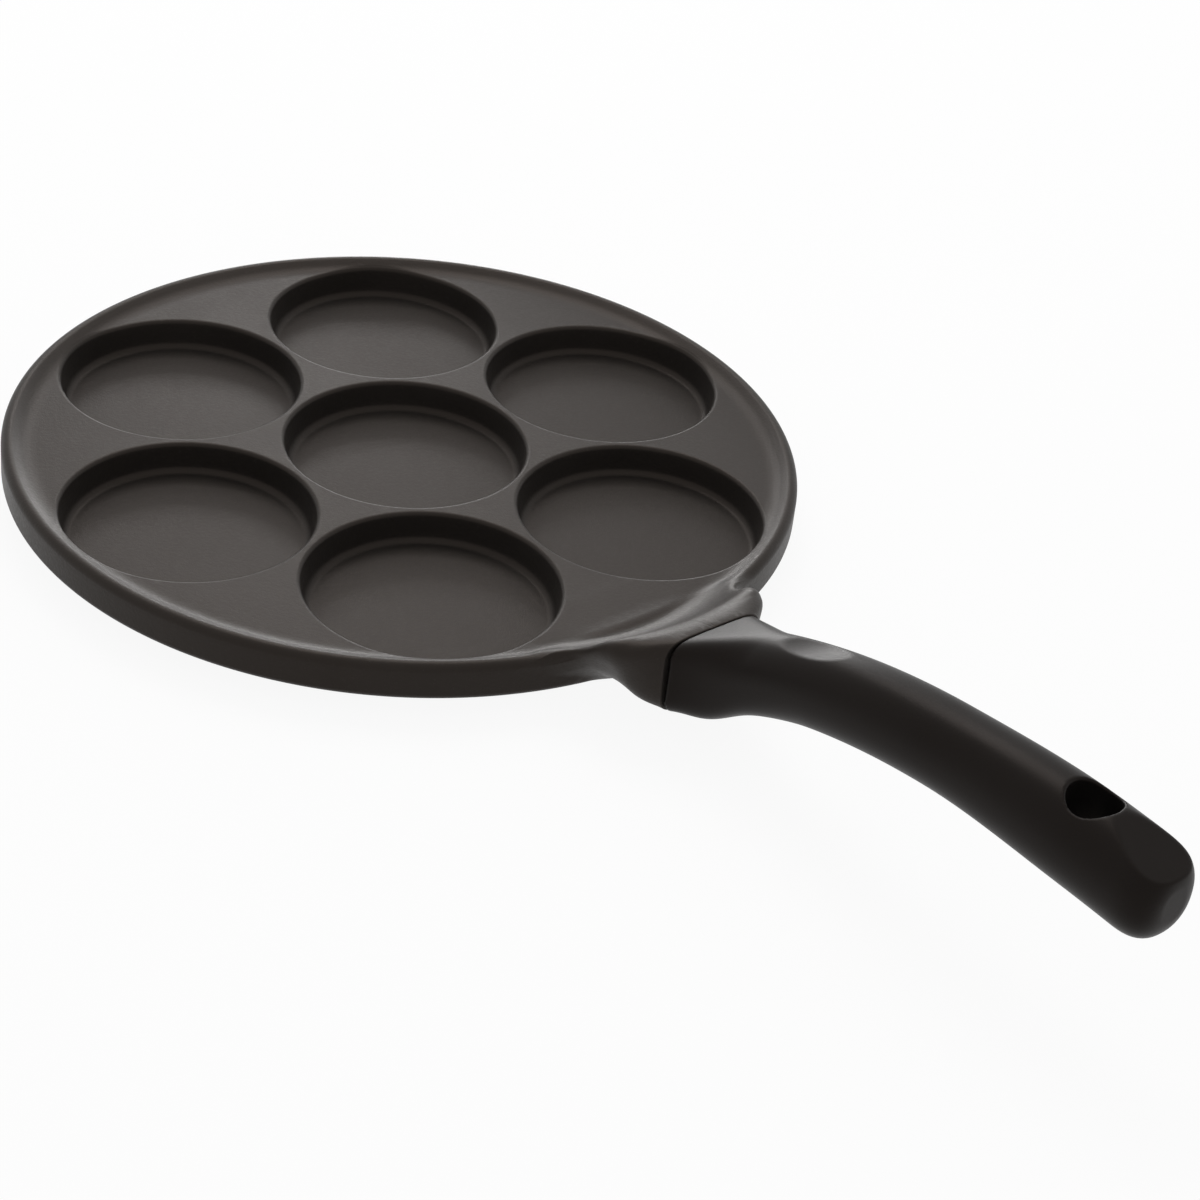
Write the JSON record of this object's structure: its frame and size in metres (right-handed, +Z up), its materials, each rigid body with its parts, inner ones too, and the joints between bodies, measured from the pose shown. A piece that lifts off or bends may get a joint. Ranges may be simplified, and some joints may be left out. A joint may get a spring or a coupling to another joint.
{
  "type": "aebleskiver pan",
  "caption": "Round cast pancake pan with shallow flat-floored wells, a low rounded rim, a raised cast neck and an arched moulded handle with a thumb dish, hanging hole and slanted end.",
  "frame": {"origin": "centre of the pan's underside, on the plane it stands on", "axes": "+Z up along the pan's axis, +X along the handle from the pan to the tip, +Y to the left seen from above with the handle pointing away"},
  "size_m": [0.4561, 0.2606, 0.0659],
  "materials": {
    "casting_coating": "satin dark non-stick coating on cast aluminium",
    "phenolic": "satin moulded phenolic",
    "steel": "zinc-bright"
  },
  "bodies": {
    "root": {"pan_body": "casting_coating", "handle": "phenolic", "handle_screw": "steel", "spring_washer": "steel", "flat_washer": "steel"}
  },
  "joints": []
}
